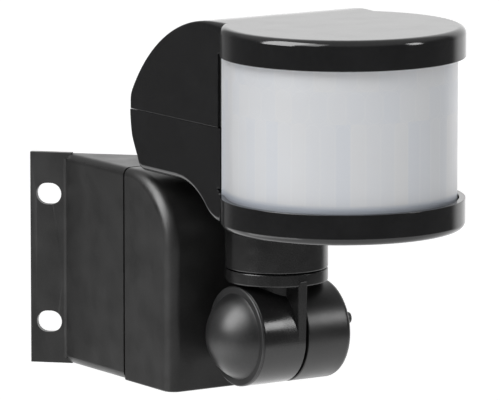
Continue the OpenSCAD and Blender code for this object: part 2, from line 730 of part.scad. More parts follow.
module film_capacitor() color([0.75, 0.55, 0.15]) in_hinge_frame()
    translate([5, 18, power_z + board_t]) cube(film_size);

module smoothing_capacitor() color([0.1, 0.1, 0.3]) in_hinge_frame()
    translate([9.5, 11, power_z + board_t]) cylinder(r = smoothing_r, h = smoothing_h);

module board_screws() color("silver") in_hinge_frame() for (p = board_screw_at)
    translate([p[0], p[1], power_z + board_t]) mirror([0, 0, 1]) pan_screw(1.2, 6, 2.4, 1.4);

module housing_screws() color("silver") in_hinge_frame() for (p = housing_screw_at) both_sides()
    translate([p[0][0], p[0][1], p[1] + 2.1])
        pan_screw(screw_r, housing_screw_top - p[1] - 2.1, screw_head_r, 1.9);

module head_lead() color([0.85, 0.85, 0.85]) in_hinge_frame() lead(head_lead_route, wire_r);

module knob(p) color([0.15, 0.15, 0.15]) in_hinge_frame()
    translate([p[0], p[1], band_bottom + gap]) difference() {
        union() {
            cylinder(r = knob_r, h = 3);
            cylinder(r = knob_shaft_r, h = 6.6);
        }
        translate([-0.6, -knob_r + 1, -e]) cube([1.2, 2 * knob_r - 2, 1.2]);
    }

module time_knob() knob(knob_at[0]);
module lux_knob() knob(knob_at[1]);
module range_knob() knob(knob_at[2]);

corner_bracket();
base_box();
base_plate();
base_gasket();
mounting_screws();
mounting_nuts();
locking_screws();
terminal_block();
terminal_screws();
cable_grommet();
hinge_bolt();
hinge_washer();
thrust_washer();
wing_nut();
base_lead();
tilt_knuckle();
knuckle_cap();
neck_seal();
retaining_clip();
knuckle_lead();
lower_housing();
upper_housing();
lens();
lens_frame();
sensor_board();
sensor_carrier();
pir_sensor(sensor_turn[0]);  // pir_sensor_left
pir_sensor(sensor_turn[1]);  // pir_sensor_centre
pir_sensor(sensor_turn[2]);  // pir_sensor_right
status_led();
control_board();
trim_pots();
power_board();
relay();
film_capacitor();
smoothing_capacitor();
board_screws();
housing_screws();
head_lead();
time_knob();
lux_knob();
range_knob();
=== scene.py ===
import json
from math import acos, asin, atan2, cos, degrees, pi, radians, sin, sqrt, tan

import bmesh
import bpy
from mathutils import Matrix, Vector


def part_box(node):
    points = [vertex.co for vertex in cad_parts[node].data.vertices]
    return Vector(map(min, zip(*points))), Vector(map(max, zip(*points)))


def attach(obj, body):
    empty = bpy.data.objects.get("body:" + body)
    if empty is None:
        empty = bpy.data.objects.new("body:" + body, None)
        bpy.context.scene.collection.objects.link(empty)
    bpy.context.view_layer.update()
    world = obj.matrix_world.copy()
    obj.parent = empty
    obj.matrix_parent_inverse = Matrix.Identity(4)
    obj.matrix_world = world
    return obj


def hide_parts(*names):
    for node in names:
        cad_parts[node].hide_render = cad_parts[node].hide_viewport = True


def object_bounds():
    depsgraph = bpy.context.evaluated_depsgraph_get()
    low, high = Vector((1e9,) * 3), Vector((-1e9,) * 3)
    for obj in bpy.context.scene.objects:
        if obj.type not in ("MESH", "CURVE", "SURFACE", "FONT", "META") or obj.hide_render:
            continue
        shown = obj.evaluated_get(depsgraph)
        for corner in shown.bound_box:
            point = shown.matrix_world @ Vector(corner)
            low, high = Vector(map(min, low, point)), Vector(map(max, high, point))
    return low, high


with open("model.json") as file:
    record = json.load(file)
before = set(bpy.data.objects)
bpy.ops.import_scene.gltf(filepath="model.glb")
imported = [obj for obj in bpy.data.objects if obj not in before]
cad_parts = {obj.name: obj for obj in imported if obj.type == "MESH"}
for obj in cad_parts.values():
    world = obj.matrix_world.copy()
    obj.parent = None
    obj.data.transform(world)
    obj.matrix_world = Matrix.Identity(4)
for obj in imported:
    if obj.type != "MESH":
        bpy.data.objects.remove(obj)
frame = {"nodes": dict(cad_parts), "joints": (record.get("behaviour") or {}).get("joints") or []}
cad_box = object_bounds()

# Shapes are built in millimetres in the hinge frame: the tilt axis is X at the origin,
# the front is -Y and up is +Z, as in the CAD model.
MM = 0.001
hinge = Vector(next(j for j in frame["joints"] if j["name"] == "tilt")["pos_m"])
TO_PART = Matrix.Translation(hinge) @ Matrix.Scale(MM, 4)


def box_mm(node):
    """A CAD node's lowest and highest corners, in millimetres in the hinge frame."""
    low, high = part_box(node)
    return (low - hinge) / MM, (high - hinge) / MM


upper_high = box_mm("upper_housing")[1]
lower_low = box_mm("lower_housing")[0]
lens_low, lens_high = box_mm("lens")
base_low, base_high = box_mm("base_box")
bracket_low, bracket_high = box_mm("corner_bracket")
knuckle_top = box_mm("tilt_knuckle")[1].z
cap_left = box_mm("knuckle_cap")[0].x
nut_low, nut_high = box_mm("wing_nut")

# Head
CAP_R = upper_high.x
LENS_R = lens_high.x
LENS_REACH = CAP_R - 1.0
SHELL_HW = 28.0
SHELL_BACK = upper_high.y
ROOF_Z = upper_high.z
LENS_T = 1.2
LENS_SINK = 2.8
LENS_TOP = lens_high.z - LENS_SINK
BAND_TOP = lens_low.z + LENS_SINK
BAND_BOTTOM = 36.6
SHELL_BOTTOM = 46.9
SPLIT_Z = 65.0
SEAM_GAP = 0.09
WALL = 1.9
ROOF_R = 52.0
BACK_EDGE_R = 7.0
BACK_R = 40.0
HEEL_R = 4.0
ROOF_EDGE_R = 2.3
BAND_EDGE_R = 2.1
NECK_R = 15.4
NECK_BOTTOM = lower_low.z
NECK_TOP = 49.4
SPIGOT_R = 12.7
CREASE_Y = -LENS_REACH + sqrt(CAP_R ** 2 - SHELL_HW ** 2)
GROOVE = 0.6
REAR_SCREW = (21.0, 22.0)
FRONT_SCREW = (22.0, -4.5)
FRONT_SEAT = 40.6
SCREW_HEAD_R = 3.1
SCREW_HOLE_R = 1.6
POST_MEET = 51.8
KNOB_AT = [(-14.0, -50.0), (0.0, -53.0), (14.0, -50.0)]
KNOB_HOLE_R = 5.5

# Knuckle and hinge
DRUM_R = 15.0
DRUM_LEFT = -13.8
WEB_LEFT = -2.2
WEB_RIGHT = 0.8
DRUM_BORE_R = 12.4
DRUM_FLOOR = -5.4
BOLT_BORE_R = 3.08
CAP_SEAT = -14.8
STUB_R = 9.0
COLLAR_BOTTOM = 15.8
COLLAR_TOP = 19.6
SPIGOT_BORE_R = 9.4
LEAD_HOLE_R = 3.2
LEAD_AT = (-4.6, 0)
BASE_DRUM = (1.8, 17.4)
DRUM_EDGE_R = 2.0

# Base and bracket
BOX_HW = 26.8
BASE_FRONT = 17.0
BASE_BACK = base_high.y
BOX_BOTTOM = base_low.z
BOX_TOP = base_high.z
BROW_R = 22.0
BASE_EDGE_R = 3.8
BASE_WALL = 2.2
SEAM_Y = BASE_BACK + 0.5
LOCK_X = 15
LOCK_Y = SEAM_Y - 7.6
CORNER_Y = -hinge.y / MM
FLANGE_W = 11.0
SLOT_FROM_FOLD = 5.2
SLOT_Z = 19.8
FOLD_R = 1.6
PLATE_T = 2.0
FOLD_Y = CORNER_Y + BOX_HW - PLATE_T * sqrt(2)


# Curves and shading
FILLET_STEPS = 7
FILLET_ANGLES = [radians(90 * k / FILLET_STEPS) for k in range(FILLET_STEPS + 1)]
ARC_STEPS = 56
SHARP_ANGLE = 48


# ---- Mesh tools ----

def arc(centre, r, start, end, n):
    """Points on an arc, angles in degrees."""
    angles = [radians(start + (end - start) * i / n) for i in range(n + 1)]
    return [(centre[0] + r * cos(a), centre[1] + r * sin(a)) for a in angles]


def rounded(points, n=6):
    """A closed outline from (x, y, radius) corners, each rounded by its own radius."""
    out = []
    for i, (x, y, r) in enumerate(points):
        if r == 0:
            out.append((x, y))
            continue
        corner = Vector((x, y))
        before = (Vector(points[i - 1][:2]) - corner).normalized()
        after = (Vector(points[(i + 1) % len(points)][:2]) - corner).normalized()
        half = acos(max(-1, min(1, before.dot(after)))) / 2
        centre = corner + (before + after).normalized() * (r / sin(half))
        first = corner + before * (r / tan(half)) - centre
        last = corner + after * (r / tan(half)) - centre
        sweep = atan2(first.x * last.y - first.y * last.x, first.dot(last))
        for k in range(n + 1):
            a = sweep * k / n
            out.append((centre.x + first.x * cos(a) - first.y * sin(a),
                        centre.y + first.x * sin(a) + first.y * cos(a)))
    return out


def skin(bm, rows):
    """Quads between rows of points."""
    grid = [[bm.verts.new(p) for p in row] for row in rows]
    for a, b in zip(grid, grid[1:]):
        for i in range(len(a) - 1):
            bm.faces.new((a[i], a[i + 1], b[i + 1], b[i]))


def face(bm, points):
    bm.faces.new([bm.verts.new(p) for p in points])


def tidy(bm):
    bmesh.ops.remove_doubles(bm, verts=bm.verts, dist=0.002)
    bmesh.ops.dissolve_degenerate(bm, edges=bm.edges, dist=0.001)
    bmesh.ops.recalc_face_normals(bm, faces=bm.faces)


def make(name, bm):
    """A mesh object from bm, still in millimetres."""
    mesh = bpy.data.meshes.new(name)
    bm.to_mesh(mesh)
    bm.free()
    obj = bpy.data.objects.new(name, mesh)
    bpy.context.scene.collection.objects.link(obj)
    return obj


def prism(outline, low, high, axis="X"):
    """A closed solid: an outline in the other two coordinates, in order, drawn out along axis."""
    order = {
        "X": lambda a, b, t: (t, a, b),
        "Y": lambda a, b, t: (a, t, b),
        "Z": lambda a, b, t: (a, b, t),
    }[axis]
    bm = bmesh.new()
    ends = [[bm.verts.new(order(a, b, t)) for a, b in outline] for t in (low, high)]
    bm.faces.new(ends[0])
    bm.faces.new(ends[1])
    for i in range(len(outline)):
        j = (i + 1) % len(outline)
        bm.faces.new((ends[0][i], ends[0][j], ends[1][j], ends[1][i]))
    tidy(bm)
    return make("prism", bm)


def lathe(profile, axis="Z", centre=(0, 0, 0), steps=96):
    """A closed solid of revolution from a closed profile of (radius, height along axis)."""
    def place(r, h, a):
        spin = {
            "X": (h, r * cos(a), r * sin(a)),
            "Y": (r * sin(a), h, r * cos(a)),
            "Z": (r * cos(a), r * sin(a), h),
        }
        return Vector(centre) + Vector(spin[axis])
    bm = bmesh.new()
    loop = list(profile) + [profile[0]]
    skin(bm, [[place(r, h, 2 * pi * k / steps) for r, h in loop] for k in range(steps + 1)])
    tidy(bm)
    return make("lathe", bm)


def disc(r, low, high, axis="Z", centre=(0, 0, 0), steps=64):
    """A plain round bar, for cutting bores and for building up bigger shapes."""
    return lathe([(0, low), (r, low), (r, high), (0, high)], axis, centre, steps)


def bars(r, low, high, places, steps):
    """Upright round bars at (x, y) places."""
    return [disc(r, low, high, centre=(x, y, 0), steps=steps) for x, y in places]


def slab(half, low, high, corner, n):
    """The outline of a rectangle with rounded corners, as wide to both sides."""
    return rounded([(-half, low, corner), (half, low, corner), (half, high, corner), (-half, high, corner)], n)


def applied(obj):
    """Puts the result of the object's modifiers into its mesh."""
    depsgraph = bpy.context.evaluated_depsgraph_get()
    mesh = bpy.data.meshes.new_from_object(obj.evaluated_get(depsgraph))
    obj.modifiers.clear()
    old = obj.data
    obj.data = mesh
    bpy.data.meshes.remove(old)
    return obj


def combine(obj, others, operation):
    for other in others:
        cut = obj.modifiers.new("cut", "BOOLEAN")
        cut.operation = operation
        cut.solver = "EXACT"
        cut.object = other
        applied(obj)
        bpy.data.objects.remove(other)
    return obj


def add(obj, *others):
    return combine(obj, others, "UNION")


def cut(obj, *others):
    return combine(obj, others, "DIFFERENCE")


def keep(obj, *others):
    return combine(obj, others, "INTERSECT")


def clean(obj):
    """Merges what a cut leaves on flat faces, so that edges can be rounded evenly."""
    bm = bmesh.new()
    bm.from_mesh(obj.data)
    bmesh.ops.remove_doubles(bm, verts=bm.verts, dist=0.01)
    bmesh.ops.dissolve_limit(bm, angle_limit=radians(0.4), verts=bm.verts, edges=bm.edges)
    bmesh.ops.recalc_face_normals(bm, faces=bm.faces)
    bm.to_mesh(obj.data)
    bm.free()


def bevel(obj, width, angle, segments):
    """A modifier that rounds the edges sharper than angle, in degrees."""
    made = obj.modifiers.new("edges", "BEVEL")
    made.width = width
    made.segments = segments
    made.limit_method = "ANGLE"
    made.angle_limit = radians(angle)
    return made


def even_shading(obj):
    """A modifier that shades flat faces as flat and only their rounded edges as round."""
    even = obj.modifiers.new("shading", "WEIGHTED_NORMAL")
    even.keep_sharp = True


def round_edges(obj, width, angle=40):
    """Rounds the sharp edges of a shape that is still in millimetres."""
    bevel(obj, width, angle, 3)
    return applied(obj)


def thicken(obj, wall):
    """Makes a surface a solid wall, inwards from where it is."""
    solid = obj.modifiers.new("wall", "SOLIDIFY")
    solid.thickness = wall
    solid.offset = -1
    solid.use_even_offset = True
    solid.use_quality_normals = True
    return applied(obj)


def piece(obj, name, body, material, nodes, edge=0.0):
    """Finishes a built shape: real size and place, shading, material, and what it stands for."""
    obj.name = name
    clean(obj)
    if edge:
        round_edges(obj, edge)
    obj.data.name = name
    obj.data.transform(TO_PART)
    for polygon in obj.data.polygons:
        polygon.use_smooth = True
    obj.data.set_sharp_from_angle(angle=radians(SHARP_ANGLE))
    even_shading(obj)
    obj.data.materials.clear()
    obj.data.materials.append(material)
    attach(obj, body)
    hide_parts(*nodes)
    return obj


# ---- Materials ----

class Nodes:
    """Short calls for building one material's node tree."""

    def __init__(self, name):
        self.material = bpy.data.materials.new(name)
        self.material.use_nodes = True
        self.tree = self.material.node_tree
        self.shader = self.tree.nodes["Principled BSDF"]
        self.place = self.tree.nodes.new("ShaderNodeTexCoord").outputs["Object"]

    def node(self, kind, **values):
        made = self.tree.nodes.new("ShaderNode" + kind)
        for key, value in values.items():
            setattr(made, key, value)
        return made

    def put(self, socket, value):
        if hasattr(value, "is_output"):
            self.tree.links.new(value, socket)
        else:
            socket.default_value = value

    def math(self, operation, a, b=0.0, c=0.0):
        made = self.node("Math", operation=operation)
        for socket, value in zip(made.inputs, (a, b, c)):
            self.put(socket, value)
        return made.outputs[0]

    def noise(self, size_mm, detail=2.0, stretch=(1, 1, 1), roughness=0.5):
        """Noise with features about size_mm across, drawn out along an axis by stretch."""
        mapping = self.node("Mapping")
        self.put(mapping.inputs["Vector"], self.place)
        mapping.inputs["Scale"].default_value = [1 / s for s in stretch]
        made = self.node("TexNoise")
        self.put(made.inputs["Vector"], mapping.outputs[0])
        made.inputs["Scale"].default_value = 1 / (size_mm * MM)
        made.inputs["Detail"].default_value = detail
        made.inputs["Roughness"].default_value = roughness
        return made.outputs["Fac"]

    def mix(self, factor, a, b):
        made = self.node("Mix", data_type="RGBA")
        self.put(made.inputs["Factor"], factor)
        for socket, value in ((made.inputs["A"], a), (made.inputs["B"], b)):
            self.put(socket, value if hasattr(value, "is_output") else (*value, 1))
        return made.outputs["Result"]

    def span(self, value, low, high, to_low, to_high):
        made = self.node("MapRange")
        for socket, number in zip(made.inputs, (value, low, high, to_low, to_high)):
            self.put(socket, number)
        return made.outputs[0]

    def bump(self, height, depth_mm, normal=None):
        made = self.node("Bump")
        made.inputs["Strength"].default_value = 1.0
        made.inputs["Distance"].default_value = depth_mm * MM
        self.put(made.inputs["Height"], height)
        if normal:
            self.put(made.inputs["Normal"], normal)
        return made.outputs["Normal"]

    def edges(self, radius_mm):
        """1 on worn edges and 0 on open faces."""
        bevel = self.node("Bevel", samples=4)
        bevel.inputs["Radius"].default_value = radius_mm * MM
        true = self.node("NewGeometry").outputs["Normal"]
        dot = self.node("VectorMath", operation="DOT_PRODUCT")
        self.put(dot.inputs[0], bevel.outputs[0])
        self.put(dot.inputs[1], true)
        return self.span(dot.outputs["Value"], 0.995, 0.93, 0.0, 1.0)


def plastic(name, colour, rough, grain_mm, grain_depth, wear=0.3, spread=0.05, streak=(1, 1, 1), orange=0.0):
    """Moulded plastic: fine grain, cloudy roughness, faint tone changes and lighter, duller worn edges."""
    n = Nodes(name)
    cloud = n.noise(9, 3)
    speck = n.noise(grain_mm * 2.5, 2)
    worn = n.math("MULTIPLY", n.edges(0.45), n.span(n.noise(3, 4), 0.4, 0.65, 0.0, wear))
    dark, light = [c * 0.86 for c in colour], [c * 1.14 for c in colour]
    tone = n.mix(n.span(cloud, 0.3, 0.7, 0.0, 1.0), dark, light)
    tone = n.mix(n.span(speck, 0.45, 0.75, 0.0, 0.35), tone, [c * 1.6 + 0.004 for c in colour])
    n.put(n.shader.inputs["Base Color"], n.mix(worn, tone, [c * 2.2 + 0.02 for c in colour]))
    cloudy = n.span(cloud, 0.3, 0.7, rough - spread, rough + spread)
    n.put(n.shader.inputs["Roughness"], n.math("ADD", cloudy, n.math("MULTIPLY", worn, 0.25)))
    normal = n.bump(n.noise(grain_mm, 3, streak), grain_depth)
    if orange:
        normal = n.bump(n.noise(6, 1), orange, normal)
    n.put(n.shader.inputs["Normal"], normal)
    n.shader.inputs["IOR"].default_value = 1.5
    return n.material


def metal(name, colour, rough, streak_mm=0.15):
    """Plated steel: fine drawn lines and cloudy plating."""
    n = Nodes(name)
    cloud = n.noise(4, 3)
    n.put(n.shader.inputs["Base Color"], n.mix(cloud, [c * 0.8 for c in colour], colour))
    n.shader.inputs["Metallic"].default_value = 1.0
    n.put(n.shader.inputs["Roughness"], n.span(cloud, 0.3, 0.7, rough - 0.08, rough + 0.1))
    n.put(n.shader.inputs["Normal"], n.bump(n.noise(streak_mm, 3, (1, 1, 12)), 0.01))
    return n.material


def circuit_board(name, colour):
    """Green lacquer over copper tracks: raised straight tracks show as a lighter green."""
    n = Nodes(name)
    brick = n.node("TexBrick")
    n.put(brick.inputs["Vector"], n.place)
    brick.inputs["Scale"].default_value = 130
    brick.inputs["Mortar Size"].default_value = 0.04
    tracks = n.math("SUBTRACT", 1.0, brick.outputs["Fac"])
    n.put(n.shader.inputs["Base Color"], n.mix(tracks, [c * 1.7 for c in colour], colour))
    n.put(n.shader.inputs["Roughness"], n.span(n.noise(5), 0.3, 0.7, 0.25, 0.4))
    n.put(n.shader.inputs["Normal"], n.bump(tracks, -0.03))
    return n.material


def milky_lens(name, rows, rim_z):
    """Milky polyethylene: the outlines of the Fresnel cells show through, and its rim below is cooler."""
    n = Nodes(name)
    uv = n.node("SeparateXYZ")
    n.put(uv.inputs[0], n.node("UVMap", uv_map="sheet").outputs[0])
    along, height = uv.outputs[0], uv.outputs[1]
    lines, tints = 0.0, 0.0
    for row, (low, high, pitch, corner, shift, tall) in enumerate(rows):
        cell = n.math("ADD", n.math("DIVIDE", along, pitch), shift)
        inside = n.math("MULTIPLY", n.math("GREATER_THAN", height, low), n.math("LESS_THAN", height, high))
        x = n.math("MULTIPLY", n.math("ABSOLUTE", n.math("SUBTRACT", n.math("FRACT", cell), 0.5)), pitch)
        y = n.math("SUBTRACT", height, (low + high) / 2)
        if not tall:
            y = n.math("ABSOLUTE", y)
        past_x = n.math("SUBTRACT", x, pitch / 2 - CELL_MARGIN - corner)
        past_y = n.math("SUBTRACT", y, (high - low) / 2 - CELL_MARGIN - corner)
        square_x = n.math("POWER", n.math("MAXIMUM", past_x, 0.0), 2.0)
        square_y = n.math("POWER", n.math("MAXIMUM", past_y, 0.0), 2.0)
        reach = n.math("SQRT", n.math("ADD", square_x, square_y))
        outline = n.span(n.math("ABSOLUTE", n.math("SUBTRACT", reach, corner)), 0.0, 0.22, 0.7, 0.0)
        border = n.span(n.math("SUBTRACT", pitch / 2, x), 0.0, 0.15, 0.8 if tall else 0.4, 0.0)
        line = n.math("MAXIMUM", outline, border)
        lines = n.math("ADD", n.math("MULTIPLY", line, inside), lines)
        key = n.node("CombineXYZ")
        n.put(key.inputs[0], n.math("FLOOR", cell))
        key.inputs[1].default_value = row * 7.3
        chance = n.node("TexWhiteNoise", noise_dimensions="3D")
        n.put(chance.inputs["Vector"], key.outputs[0])
        tints = n.math("ADD", n.math("MULTIPLY", chance.outputs["Value"], inside), tints)
    cloud = n.noise(14, 2)
    tint = n.math("ADD", n.math("MULTIPLY", n.math("POWER", tints, 1.5), 0.7), n.math("MULTIPLY", cloud, 0.3))
    milk = n.mix(tint, (0.72, 0.725, 0.735), (0.665, 0.69, 0.735))
    milk = n.mix(n.math("MULTIPLY", lines, 0.3), milk, (0.79, 0.795, 0.80))
    milk = n.mix(n.span(height, rim_z - 0.6, rim_z + 0.5, 0.7, 0.0), milk, (0.45, 0.50, 0.59))
    n.put(n.shader.inputs["Base Color"], milk)
    n.put(n.shader.inputs["Roughness"], n.span(cloud, 0.3, 0.7, 0.3, 0.42))
    n.shader.inputs["Subsurface Weight"].default_value = 0.25
    n.shader.inputs["Subsurface Radius"].default_value = (1.0, 1.0, 1.0)
    n.shader.inputs["Subsurface Scale"].default_value = 0.0015
    normal = n.bump(lines, 0.02)
    n.put(n.shader.inputs["Normal"], n.bump(n.noise(0.9, 2), 0.01, normal))
    return n.material


GLOSS = plastic("gloss_black", (0.0085, 0.0085, 0.009), 0.11, 0.5, 0.0004,
                wear=0.25, spread=0.03, orange=0.006)
SATIN = plastic("satin_black", (0.014, 0.0138, 0.0137), 0.36, 0.22, 0.006, spread=0.05)
NECK = plastic("neck_black", (0.013, 0.0128, 0.013), 0.22, 0.2, 0.003, streak=(6, 6, 1))
SOFT = plastic("soft_black", (0.014, 0.014, 0.0145), 0.4, 0.38, 0.03, spread=0.04)
RUBBER = plastic("black_rubber", (0.012, 0.012, 0.012), 0.75, 0.3, 0.01)
GREY = plastic("grey_plastic", (0.05, 0.05, 0.052), 0.5, 0.25, 0.01)
IVORY = plastic("ivory_plastic", (0.8, 0.78, 0.7), 0.4, 0.3, 0.006, wear=0.1)
CABLE = plastic("grey_cable", (0.55, 0.55, 0.55), 0.5, 0.3, 0.01, wear=0.1)
BLUE = plastic("component_blue", (0.03, 0.12, 0.45), 0.3, 0.3, 0.004, wear=0.1)
AMBER = plastic("component_amber", (0.62, 0.36, 0.05), 0.2, 0.8, 0.01, wear=0.1)
SLEEVE = plastic("capacitor_sleeve", (0.02, 0.02, 0.1), 0.25, 0.5, 0.005, wear=0.1)
RED = plastic("led_red", (0.7, 0.03, 0.03), 0.1, 0.5, 0.001, wear=0.0)
ZINC = metal("zinc_steel", (0.62, 0.62, 0.6), 0.32)
CAN = metal("sensor_can", (0.75, 0.74, 0.7), 0.2)
BOARD = circuit_board("board_green", (0.02, 0.16, 0.06))


# ---- Head ----

def mirrored(points):
    return [Vector((-p[0], p[1], p[2])) for p in points]


def bend(centre, r, first, last, n, skip=0):
    """Stations (y, z, normal y, normal z) along an arc, angles in degrees."""
    out = []
    for k in range(skip, n + 1):
        a = radians(first + (last - first) * k / n)
        out.append((centre[0] + r * cos(a), centre[1] + r * sin(a), cos(a), sin(a)))
    return out


def shrunk(stations, inset):
    """Stations moved inwards along their normals."""
    return [(y - inset * ny, z - inset * nz, ny, nz) for y, z, ny, nz in stations]


def upper_profile(inset=0.0):
    """The side outline of the upper shell, from the crease to the seam."""
    roof = (-8.0, ROOF_Z - ROOF_R)
    edge_y = SHELL_BACK - BACK_EDGE_R
    edge_z = roof[1] + sqrt((ROOF_R - BACK_EDGE_R) ** 2 - (edge_y - roof[0]) ** 2)
    turn = degrees(atan2(edge_z - roof[1], edge_y - roof[0]))
    stations = [(CREASE_Y + GROOVE, ROOF_Z, 0, 1), (roof[0], ROOF_Z, 0, 1)]
    stations += bend(roof, ROOF_R, 90, turn, 22, 1)
    stations += bend((edge_y, edge_z), BACK_EDGE_R, turn, 0, 10, 1)
    stations.append((SHELL_BACK, SPLIT_Z + SEAM_GAP, 1, 0))
    return shrunk(stations, inset)


def lower_profile(inset=0.0):
    """The side outline of the lower shell: the S curve, the flat, the heel and the back."""
    s_back, s_front = 12.0, -12.3
    sweep = 2 * atan2(SHELL_BOTTOM - BAND_BOTTOM, s_back - s_front)
    total_r = (s_back - s_front) / sin(sweep)
    top_r = 0.64 * total_r
    low_r = total_r - top_r
    stations = [(CREASE_Y + GROOVE, BAND_BOTTOM, 0, -1)]
    for k in range(1, 11):
        a = -pi / 2 + sweep * k / 10
        stations.append((s_front + low_r * cos(a), BAND_BOTTOM + low_r + low_r * sin(a), cos(a), sin(a)))
    for k in range(1, 13):
        a = pi / 2 + sweep * (1 - k / 12)
        stations.append((s_back + top_r * cos(a), SHELL_BOTTOM - top_r + top_r * sin(a), -cos(a), -sin(a)))
    back = (SHELL_BACK + 0.2 - BACK_R, SPLIT_Z + 1)
    heel_z = SHELL_BOTTOM + HEEL_R
    heel_y = back[0] + sqrt((BACK_R - HEEL_R) ** 2 - (back[1] - heel_z) ** 2)
    heel_turn = degrees(atan2(heel_z - back[1], heel_y - back[0]))
    seam_turn = degrees(asin((-1 - SEAM_GAP) / BACK_R))
    stations += bend((heel_y, heel_z), HEEL_R, -90, heel_turn, 8)
    stations += bend(back, BACK_R, heel_turn, seam_turn, 10)
    return shrunk(stations, inset)


def upper_fillet(y, z):
    """Radius of the upper shell's side edges: wide by the cap and tight along the back."""
    return 0.8 + (ROOF_EDGE_R - 0.8) * max(0.0, 1 - (y - CREASE_Y) / 12)


def lower_fillet(y, z):
    """Radius of the lower shell's side edges: wide along the S curve and tight up the back."""
    return 0.7 + (BAND_EDGE_R - 0.7) * max(0.0, min(1.0, (57 - z) / 6))


def edge_ring(half, station, r):
    """Points round a side edge of radius r, from the flat side to the outline."""
    y, z, ny, nz = station
    insets = [(r * (1 - cos(a)), 1 - sin(a)) for a in FILLET_ANGLES]
    return [Vector((half - x, y - ny * r * s, z - nz * r * s)) for x, s in insets]


def head_surface(bm, profile, inset, flat_z, edge_z, turn, fillet_at, wall_front):
    """One face of a housing's wall. Returns half of its open edge, from the front tip to the back."""
    cap_r, half = CAP_R - inset, SHELL_HW - inset

    def radius(y, z):
        return max(0.25, fillet_at(y, z) - inset)

    crease_angle = pi - asin(half / cap_r)
    fillet = radius(CREASE_Y, flat_z)
    rings = [cap_r - fillet * (1 - cos(a)) for a in FILLET_ANGLES]
    heights = [flat_z - turn * fillet * (1 - sin(a)) for a in FILLET_ANGLES]
    columns = []
    for i in range(ARC_STEPS + 1):
        phi = (crease_angle - GROOVE / cap_r) * i / ARC_STEPS
        columns.append([Vector((r * sin(phi), -LENS_REACH - r * cos(phi), z)) for r, z in zip(rings, heights)])
    mitre = Vector((1 + sin(crease_angle), -cos(crease_angle))).normalized()
    crease = []
    for a, z in zip(FILLET_ANGLES, heights):
        cut_in = fillet * (1 - cos(a))
        depth = GROOVE * (0.1 + 0.9 * cos(a)) if inset == 0 else 0.0
        y = -LENS_REACH + sqrt((cap_r - cut_in) ** 2 - (half - cut_in) ** 2)
        crease.append(Vector((half - cut_in - depth * mitre.x, y - depth * mitre.y, z)))
    columns.append(crease)
    round_count = len(columns)
    columns += [edge_ring(half, station, radius(*station[:2])) for station in profile]
    walls = [[Vector((c[0].x, c[0].y, edge_z)), c[0]] for c in columns[:round_count + 1]]
    front = [Vector((half, y, z)) for y, z in wall_front]
    side = [c[0] for c in columns[round_count:]] + front + [walls[-1][0]]
    for turned in (list, mirrored):
        skin(bm, [turned(c) for c in columns])
        skin(bm, [turned(w) for w in walls])
        face(bm, turned(side))
    tops = [c[-1] for c in columns]
    flat_end = round_count
    while flat_end + 1 < len(tops) and abs(tops[flat_end + 1].z - flat_z) < 1e-6:
        flat_end += 1
    flat = tops[:flat_end + 1]
    face(bm, flat + mirrored(reversed(flat[1:])))
    for a, b in zip(tops[flat_end:], tops[flat_end + 1:]):
        face(bm, [a, b, *mirrored([b, a])])
    return [w[0] for w in walls] + list(reversed(front)) + columns[-1]


def head_shell(profile, flat_z, edge_z, turn, fillet_at, wall_front):
    """One housing: a disc with a rounded edge that runs on into a shell with flat sides.

    turn is 1 for the upper housing and -1 for the lower one. wall_front is the front edge of the flat side,
    as (y, z) points from the seam to the disc's open edge."""
    bm = bmesh.new()
    edges = []
    for inset in (0, WALL):
        level = flat_z - turn * inset
        edges.append(head_surface(bm, profile(inset), inset, level, edge_z, turn, fillet_at, wall_front))
    skin(bm, edges)
    skin(bm, [mirrored(e) for e in edges])
    back = [e[-1] for e in edges]
    face(bm, [*back, *mirrored(reversed(back))])
    tidy(bm)
    return round_edges(make("shell", bm), 0.15, 60)


def both(at):
    """A place and its mirror image."""
    return [at, (-at[0], at[1])]


def housing_posts(profile, r, low, high, inset):
    """Screw posts, cut to the inside of a shell."""
    posts, *others = bars(r, low, high, both(REAR_SCREW) + both(FRONT_SCREW), 32)
    add(posts, *others)
    outline = [(y, z) for y, z, _, _ in profile]
    seam = SPLIT_Z if profile[0][1] < SPLIT_Z else low
    outline += [(outline[-1][0], seam), (outline[0][0], seam)]
    return keep(posts, prism(outline, -SHELL_HW + inset, SHELL_HW - inset))


def screw_hole(shell, place, head_low, head_high, low, high):
    """Cuts a counterbore for a screw's head, then the hole for its shank."""
    cut(shell, *bars(SCREW_HEAD_R, head_low, head_high, [place], 32))
    cut(shell, *bars(SCREW_HOLE_R, low, high, [place], 24))


def seam_tongue():
    """A thin rib just inside the rear walls, across the seam, so that no light shows through it."""
    outer, inner, front = WALL - 0.1, WALL + 0.7, CREASE_Y + 5
    outside = [(SHELL_HW - outer, front), (SHELL_HW - outer, SHELL_BACK - outer)]
    inside = [(SHELL_HW - inner, SHELL_BACK - inner), (SHELL_HW - inner, front)]

    def flipped(points):
        return [(-x, y) for x, y in reversed(points)]

    plan = outside + flipped(outside) + flipped(inside) + inside
    return prism(plan, SPLIT_Z - 1.5, SPLIT_Z + 0.8, "Z")


def upper_housing():
    cutback = CREASE_Y + 1.3
    front = [(cutback, SPLIT_Z + SEAM_GAP), (cutback, LENS_TOP)]
    shell = head_shell(upper_profile, ROOF_Z, LENS_TOP, 1, upper_fillet, front)
    add(shell, housing_posts(upper_profile(WALL / 2), 3.4, POST_MEET + 0.3, ROOF_Z, WALL / 2))
    for at in (REAR_SCREW, FRONT_SCREW):
        cut(shell, *bars(SCREW_HOLE_R, POST_MEET - 1, POST_MEET + 14, both(at), 24))
    return piece(shell, "upper_housing_shell", "head", GLOSS, ["upper_housing"])


